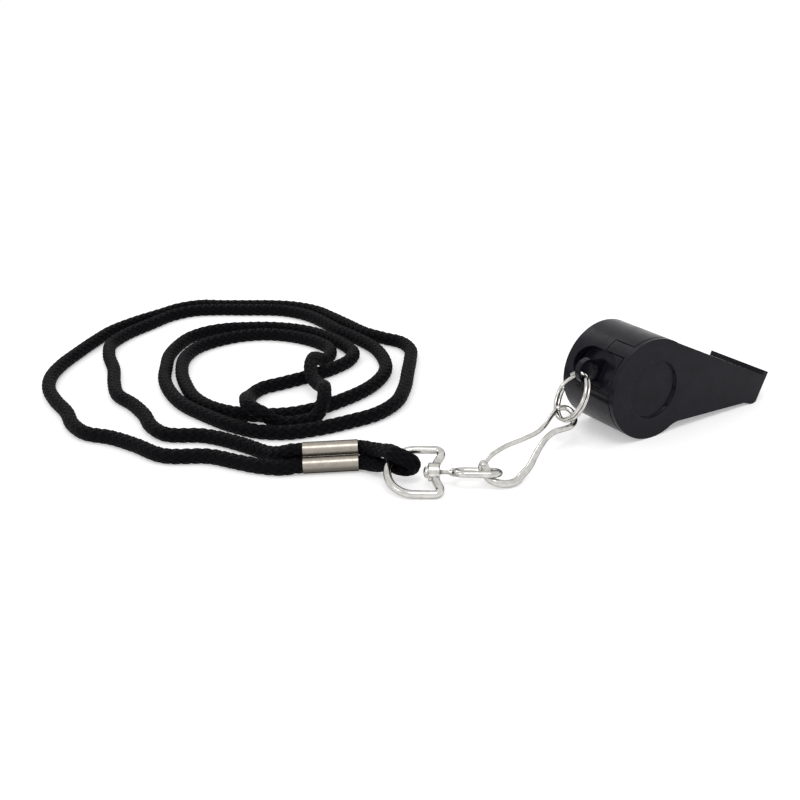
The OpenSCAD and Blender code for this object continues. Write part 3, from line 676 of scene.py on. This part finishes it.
class WHISTLE_OT_swivel(bpy.types.Operator):
    """Bends the swivel eye and turns its post and head"""
    bl_idname = "whistle.swivel"
    bl_label = "Swivel eye"

    def execute(self, context):
        wire = nickel("Swivel wire", 0.22)
        r = context.scene.whistle_sizes.eye_wire / 2
        # The eye is a long link: two half circles whose middles lie `run` apart
        bend, run = 2.2, 4.8
        near = r / MM + bend
        far = near + run
        w = np.linspace(-pi / 2, pi / 2, 25)
        front = np.stack([far + bend * np.cos(w), bend * np.sin(w), 0 * w], 1)
        back = np.stack([near - bend * np.cos(w), -bend * np.sin(w), 0 * w], 1)
        side = np.linspace(far, near, 9)[1:-1]
        loop = np.vstack([front, np.stack([side, 0 * side + bend, 0 * side], 1), back,
                          np.stack([side[::-1], 0 * side - bend, 0 * side], 1)])
        eye = tube("Swivel_eye", carried(loop, EYE_TURN, EYE_AT), EYE_TURN[:, 2], r, closed=True)
        settle(eye, "swivel", "hook_wire", wire, "swivel_eye")
        head_gap = 0.1
        profile = np.vstack([np.array(RIVET) - (POST_LEN + BOSS_HALF + head_gap, 0), STEM])
        post = lathe("Swivel_post", profile, EYE_AT * MM, EYE_TURN.T, closed=False)
        settle(post, "swivel", "hook_wire", wire)
        return {"FINISHED"}


class WHISTLE_OT_d_ring(bpy.types.Operator):
    """Bends the D ring round its boss"""
    bl_idname = "whistle.d_ring"
    bl_label = "D ring"

    def execute(self, context):
        wire = nickel("D ring wire", 0.22)
        r = context.scene.whistle_sizes.d_wire / 2
        # Half a straight bar that leans back towards its corner, the corner, a leg and the half circle
        half, corner, lean, inset, apex = 5.9, 1.3, radians(30), 0.1, 9.7
        arc_x = half - apex
        end = half - corner * (1 + sin(lean))
        bow = end * np.tan(lean) / 2
        share = np.linspace(0, 1, 10)[:-1]
        bar = np.stack([inset + bow * share**2, end * share], 1)
        w = np.linspace(-lean, pi / 2, 13)
        mid_x = inset + bow - corner * cos(lean)
        bend = np.stack([mid_x + corner * np.cos(w), half - corner + corner * np.sin(w)], 1)
        leg = np.linspace(mid_x, arc_x, 6)[1:-1]
        top = np.vstack([bar, bend, np.stack([leg, 0 * leg + half], 1)])
        big = np.linspace(pi / 2, 3 * pi / 2, 57)
        arc = np.stack([arc_x + half * np.cos(big), half * np.sin(big)], 1)
        flat = np.vstack([top, arc, top[:0:-1] * (1, -1)])
        origin = EYE_AT + EYE_TURN[:, 0] * -POST_LEN
        line = carried(np.c_[flat, np.zeros(len(flat))], D_TURN, origin)
        ring = tube("D_ring", line, D_TURN[:, 2], r, closed=True)
        settle(ring, "d_link", "hook_wire", wire, "d_ring")
        boss = lathe("D_ring_boss", BOSS, origin * MM, D_TURN.T)
        settle(boss, "d_link", "hook_wire", wire)
        return {"FINISHED"}


# Whistle
class WHISTLE_OT_moulding(bpy.types.Operator):
    """Finishes the whistle's shell and its side cover"""
    bl_idname = "whistle.moulding"
    bl_label = "Shell and cover"

    def execute(self, context):
        finish = plastic(context.scene.whistle_sizes.edge_round)
        settle(merged("body_shell", "Shell", MOULD_SHARP), "whistle", "plastic", finish, "body_shell")
        settle(merged("side_cover", "Cover", MOULD_SHARP), "whistle", "plastic", finish, "side_cover")
        return {"FINISHED"}


class WHISTLE_OT_pea(bpy.types.Operator):
    """Finishes the pea in the chamber"""
    bl_idname = "whistle.pea"
    bl_label = "Pea"

    def execute(self, context):
        settle(merged("pea", "Pea_ball", PEA_SHARP), "pea", "cork", cork(), "pea")
        return {"FINISHED"}


# Stage
CAMERA_AT, CAMERA_AIM, CAMERA_LEAN = (-177.6, -190.1, 114.05), (-42.25, 44.26, 0), radians(-3)
LENS, SENSOR = 54, 36
# Each lamp's name, place, size and power
LAMPS = (("Lamp_top", (-0.2, -0.3, 0.75), 0.3, 1.3), ("Lamp_left", (-0.75, -0.05, 0.5), 0.2, 0.6),
         ("Lamp_back", (0.1, 0.75, 0.5), 0.2, 0.7))
LAMP_AIM = (-0.04, 0.05, 0)
ROOM_LIGHT, FLOOR_GLOW, FLOOR_REACH = 0.8, 0.34, 3.0


class WHISTLE_OT_stage(bpy.types.Operator):
    """Sets the camera, the soft light and the pale floor"""
    bl_idname = "whistle.stage"
    bl_label = "Camera, light and floor"

    def execute(self, context):
        scene = context.scene
        at = np.array(CAMERA_AT) * MM
        ahead = unit(np.array(CAMERA_AIM) * MM - at)
        level = unit(np.cross(ahead, (0, 0, 1)))
        right = level * cos(CAMERA_LEAN) + np.cross(level, ahead) * sin(CAMERA_LEAN)
        up = np.cross(right, ahead)
        camera = bpy.data.objects.new("Camera", bpy.data.cameras.new("Camera"))
        camera.data.lens, camera.data.sensor_width = LENS, SENSOR
        camera.data.clip_start, camera.data.clip_end = 0.01, 20
        camera.matrix_world = Matrix(np.stack([right, up, -ahead], 1).tolist()).to_4x4()
        camera.location = at
        scene.collection.objects.link(camera)
        scene.camera = camera

        for name, place, size, power in LAMPS:
            lamp = bpy.data.objects.new(name, bpy.data.lights.new(name, "AREA"))
            lamp.data.size, lamp.data.energy = size, power
            lamp.location = place
            lamp.rotation_euler = (Vector(LAMP_AIM) - Vector(place)).to_track_quat("-Z", "Y").to_euler()
            scene.collection.objects.link(lamp)

        world = bpy.data.worlds.new("Studio")
        world.use_nodes = True
        scene.world = world
        tree = world.node_tree
        soft = tree.nodes["Background"]
        soft.inputs["Color"].default_value = (1, 1, 1, 1)
        soft.inputs["Strength"].default_value = ROOM_LIGHT
        white = tree.nodes.new("ShaderNodeBackground")
        white.inputs["Color"].default_value = (1, 1, 1, 1)
        white.inputs["Strength"].default_value = 1.0
        into = tree.nodes["World Output"].inputs["Surface"]
        self.seen_by_light_path(tree, soft.outputs[0], white.outputs[0], into)

        mesh = bpy.data.meshes.new("Floor")
        corners = [(x * FLOOR_REACH, y * FLOOR_REACH, 0) for x, y in ((-1, -1), (1, -1), (1, 1), (-1, 1))]
        mesh.from_pydata(corners, [], [(0, 1, 2, 3)])
        floor = bpy.data.objects.new("Floor", mesh)
        scene.collection.objects.link(floor)
        f = Finish("Table top")
        colour = scene.whistle_colours.floor
        f.tint(f.spread(f.noise(3, 2), 0, 1), shade(colour, 0.98), colour)
        f.shader.inputs["Roughness"].default_value = 0.9
        f.shader.inputs["Specular IOR Level"].default_value = 0.0
        glow = f.add("ShaderNodeEmission", Strength=FLOOR_GLOW)
        both = f.add("ShaderNodeAddShader")
        f.join(f.shader.outputs[0], both.inputs[0])
        f.join(glow.outputs[0], both.inputs[1])
        into = f.tree.nodes["Material Output"].inputs["Surface"]
        self.seen_by_light_path(f.tree, f.shader.outputs[0], both.outputs[0], into)
        mesh.materials.append(f.material)
        scene.view_settings.view_transform = "Standard"
        return {"FINISHED"}

    def seen_by_light_path(self, tree, plain, shown, into):
        """Camera, mirror and glass rays see the second shader, and all other light the first."""
        path = tree.nodes.new("ShaderNodeLightPath")
        total = path.outputs["Is Camera Ray"]
        for ray in ("Is Glossy Ray", "Is Transmission Ray"):
            node = tree.nodes.new("ShaderNodeMath")
            node.operation = "MAXIMUM"
            tree.links.new(total, node.inputs[0])
            tree.links.new(path.outputs[ray], node.inputs[1])
            total = node.outputs[0]
        mix = tree.nodes.new("ShaderNodeMixShader")
        tree.links.new(total, mix.inputs[0])
        tree.links.new(plain, mix.inputs[1])
        tree.links.new(shown, mix.inputs[2])
        tree.links.new(mix.outputs[0], into)


OPERATORS = (WHISTLE_OT_stage, WHISTLE_OT_cord, WHISTLE_OT_ferrule, WHISTLE_OT_split_ring, WHISTLE_OT_hook,
             WHISTLE_OT_swivel, WHISTLE_OT_d_ring, WHISTLE_OT_moulding, WHISTLE_OT_pea)


class WHISTLE_PT_sidebar(bpy.types.Panel):
    """Lists the sizes, the colours and the pieces"""
    bl_idname = "WHISTLE_PT_sidebar"
    bl_label = "Whistle"
    bl_space_type = "VIEW_3D"
    bl_region_type = "UI"
    bl_category = "Whistle"

    def draw(self, context):
        for group in (context.scene.whistle_sizes, context.scene.whistle_colours):
            box = self.layout.box()
            for key in group.__annotations__:
                box.prop(group, key)
        for operator in OPERATORS:
            self.layout.operator(operator.bl_idname)


CLASSES = (WhistleSizes, WhistleColours, *OPERATORS, WHISTLE_PT_sidebar)


def register():
    for cls in CLASSES:
        bpy.utils.register_class(cls)
    bpy.types.Scene.whistle_sizes = bpy.props.PointerProperty(type=WhistleSizes)
    bpy.types.Scene.whistle_colours = bpy.props.PointerProperty(type=WhistleColours)


def unregister():
    del bpy.types.Scene.whistle_colours
    del bpy.types.Scene.whistle_sizes
    for cls in reversed(CLASSES):
        bpy.utils.unregister_class(cls)


def main():
    register()
    bpy.ops.whistle.stage()
    bpy.ops.whistle.cord()
    bpy.ops.whistle.ferrule()
    bpy.ops.whistle.split_ring()
    bpy.ops.whistle.hook()
    bpy.ops.whistle.swivel()
    bpy.ops.whistle.d_ring()
    bpy.ops.whistle.moulding()
    bpy.ops.whistle.pea()


if __name__ == "__main__":
    main()
